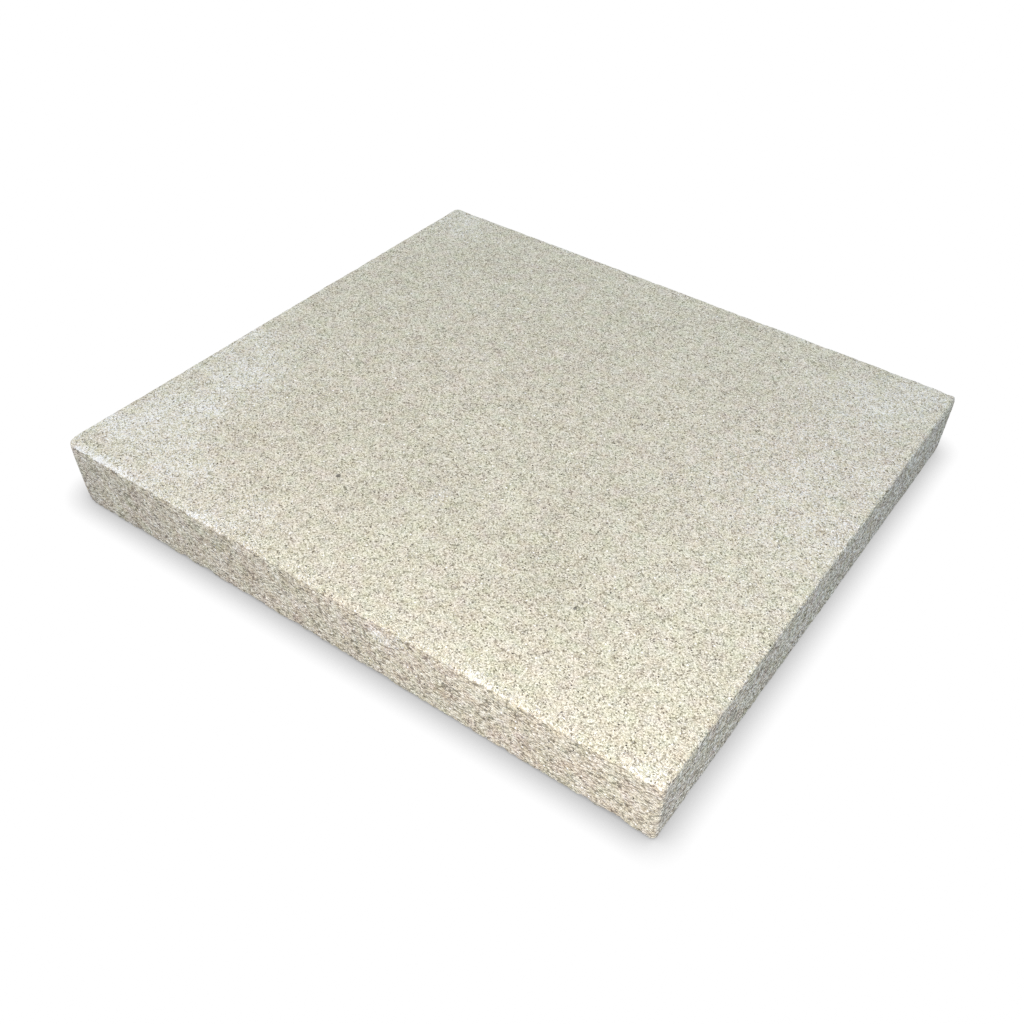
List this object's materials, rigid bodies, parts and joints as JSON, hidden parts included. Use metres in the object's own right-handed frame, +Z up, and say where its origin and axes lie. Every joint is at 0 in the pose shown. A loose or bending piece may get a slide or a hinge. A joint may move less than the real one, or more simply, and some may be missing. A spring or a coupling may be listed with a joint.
{
  "type": "vermiculite baffle plate",
  "caption": "Flat rectangular slab of pressed vermiculite board with broken edges, laid across a stove's firebox as its heat baffle.",
  "frame": {"origin": "centre of the underside, on the surface that the plate lies on", "axes": "+Z up through the board's thickness, +X along the length, +Y along the width"},
  "size_m": [0.25, 0.233, 0.025],
  "materials": {
    "vermiculite_board": "pressed vermiculite granules in a silicate binder, matt and gritty, pale buff grey with cream and dark flecks"
  },
  "bodies": {
    "root": {"baffle_plate": "vermiculite_board"}
  },
  "joints": []
}
